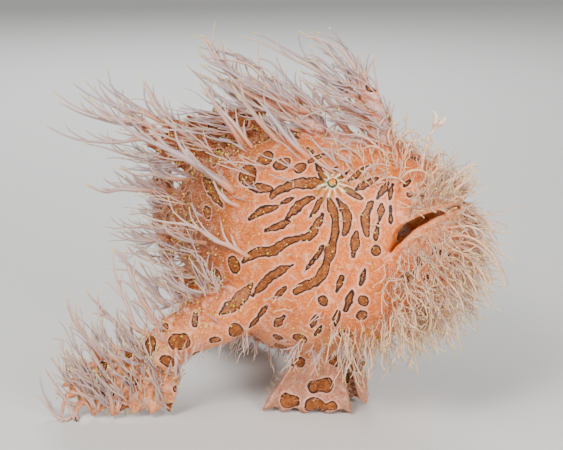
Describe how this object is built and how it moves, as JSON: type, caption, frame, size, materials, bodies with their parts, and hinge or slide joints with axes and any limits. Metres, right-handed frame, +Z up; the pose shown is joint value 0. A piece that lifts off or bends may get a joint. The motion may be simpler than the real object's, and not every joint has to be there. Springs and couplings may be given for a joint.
{
  "type": "frogfish",
  "caption": "Hairy frogfish sitting on arm-like and foot-like fins, with branched skin filaments, an upturned mouth and a lure.",
  "frame": {"origin": "centre of the bounding box, at the level of the floor under the fins", "axes": "+X towards the snout, +Y to the fish's left, +Z up"},
  "size_m": [0.1654, 0.1198, 0.1406],
  "materials": {
    "skin": "moist, finely warty skin, salmon to orange with brown stripes",
    "fin": "moist skin over rays, orange-brown",
    "spine_skin": "moist skin, lilac-grey and orange-brown",
    "lure": "pale, thin and fleshy",
    "eye": "wet and clear, orange iris"
  },
  "bodies": {
    "root": {"anal_fin": "fin", "caudal_fin": "fin", "dorsal_fin": "fin", "eye_left": "eye", "eye_right": "eye", "head": "skin", "lower_jaw": "skin", "lure": "lure", "pectoral_arm_left": "skin", "pectoral_arm_right": "skin", "pectoral_fin_left": "fin", "pectoral_fin_right": "fin", "pelvic_fin_left": "skin", "pelvic_fin_right": "skin", "second_dorsal_spine": "spine_skin", "tail_stalk": "skin", "third_dorsal_spine": "spine_skin", "trunk": "skin"}
  },
  "joints": []
}
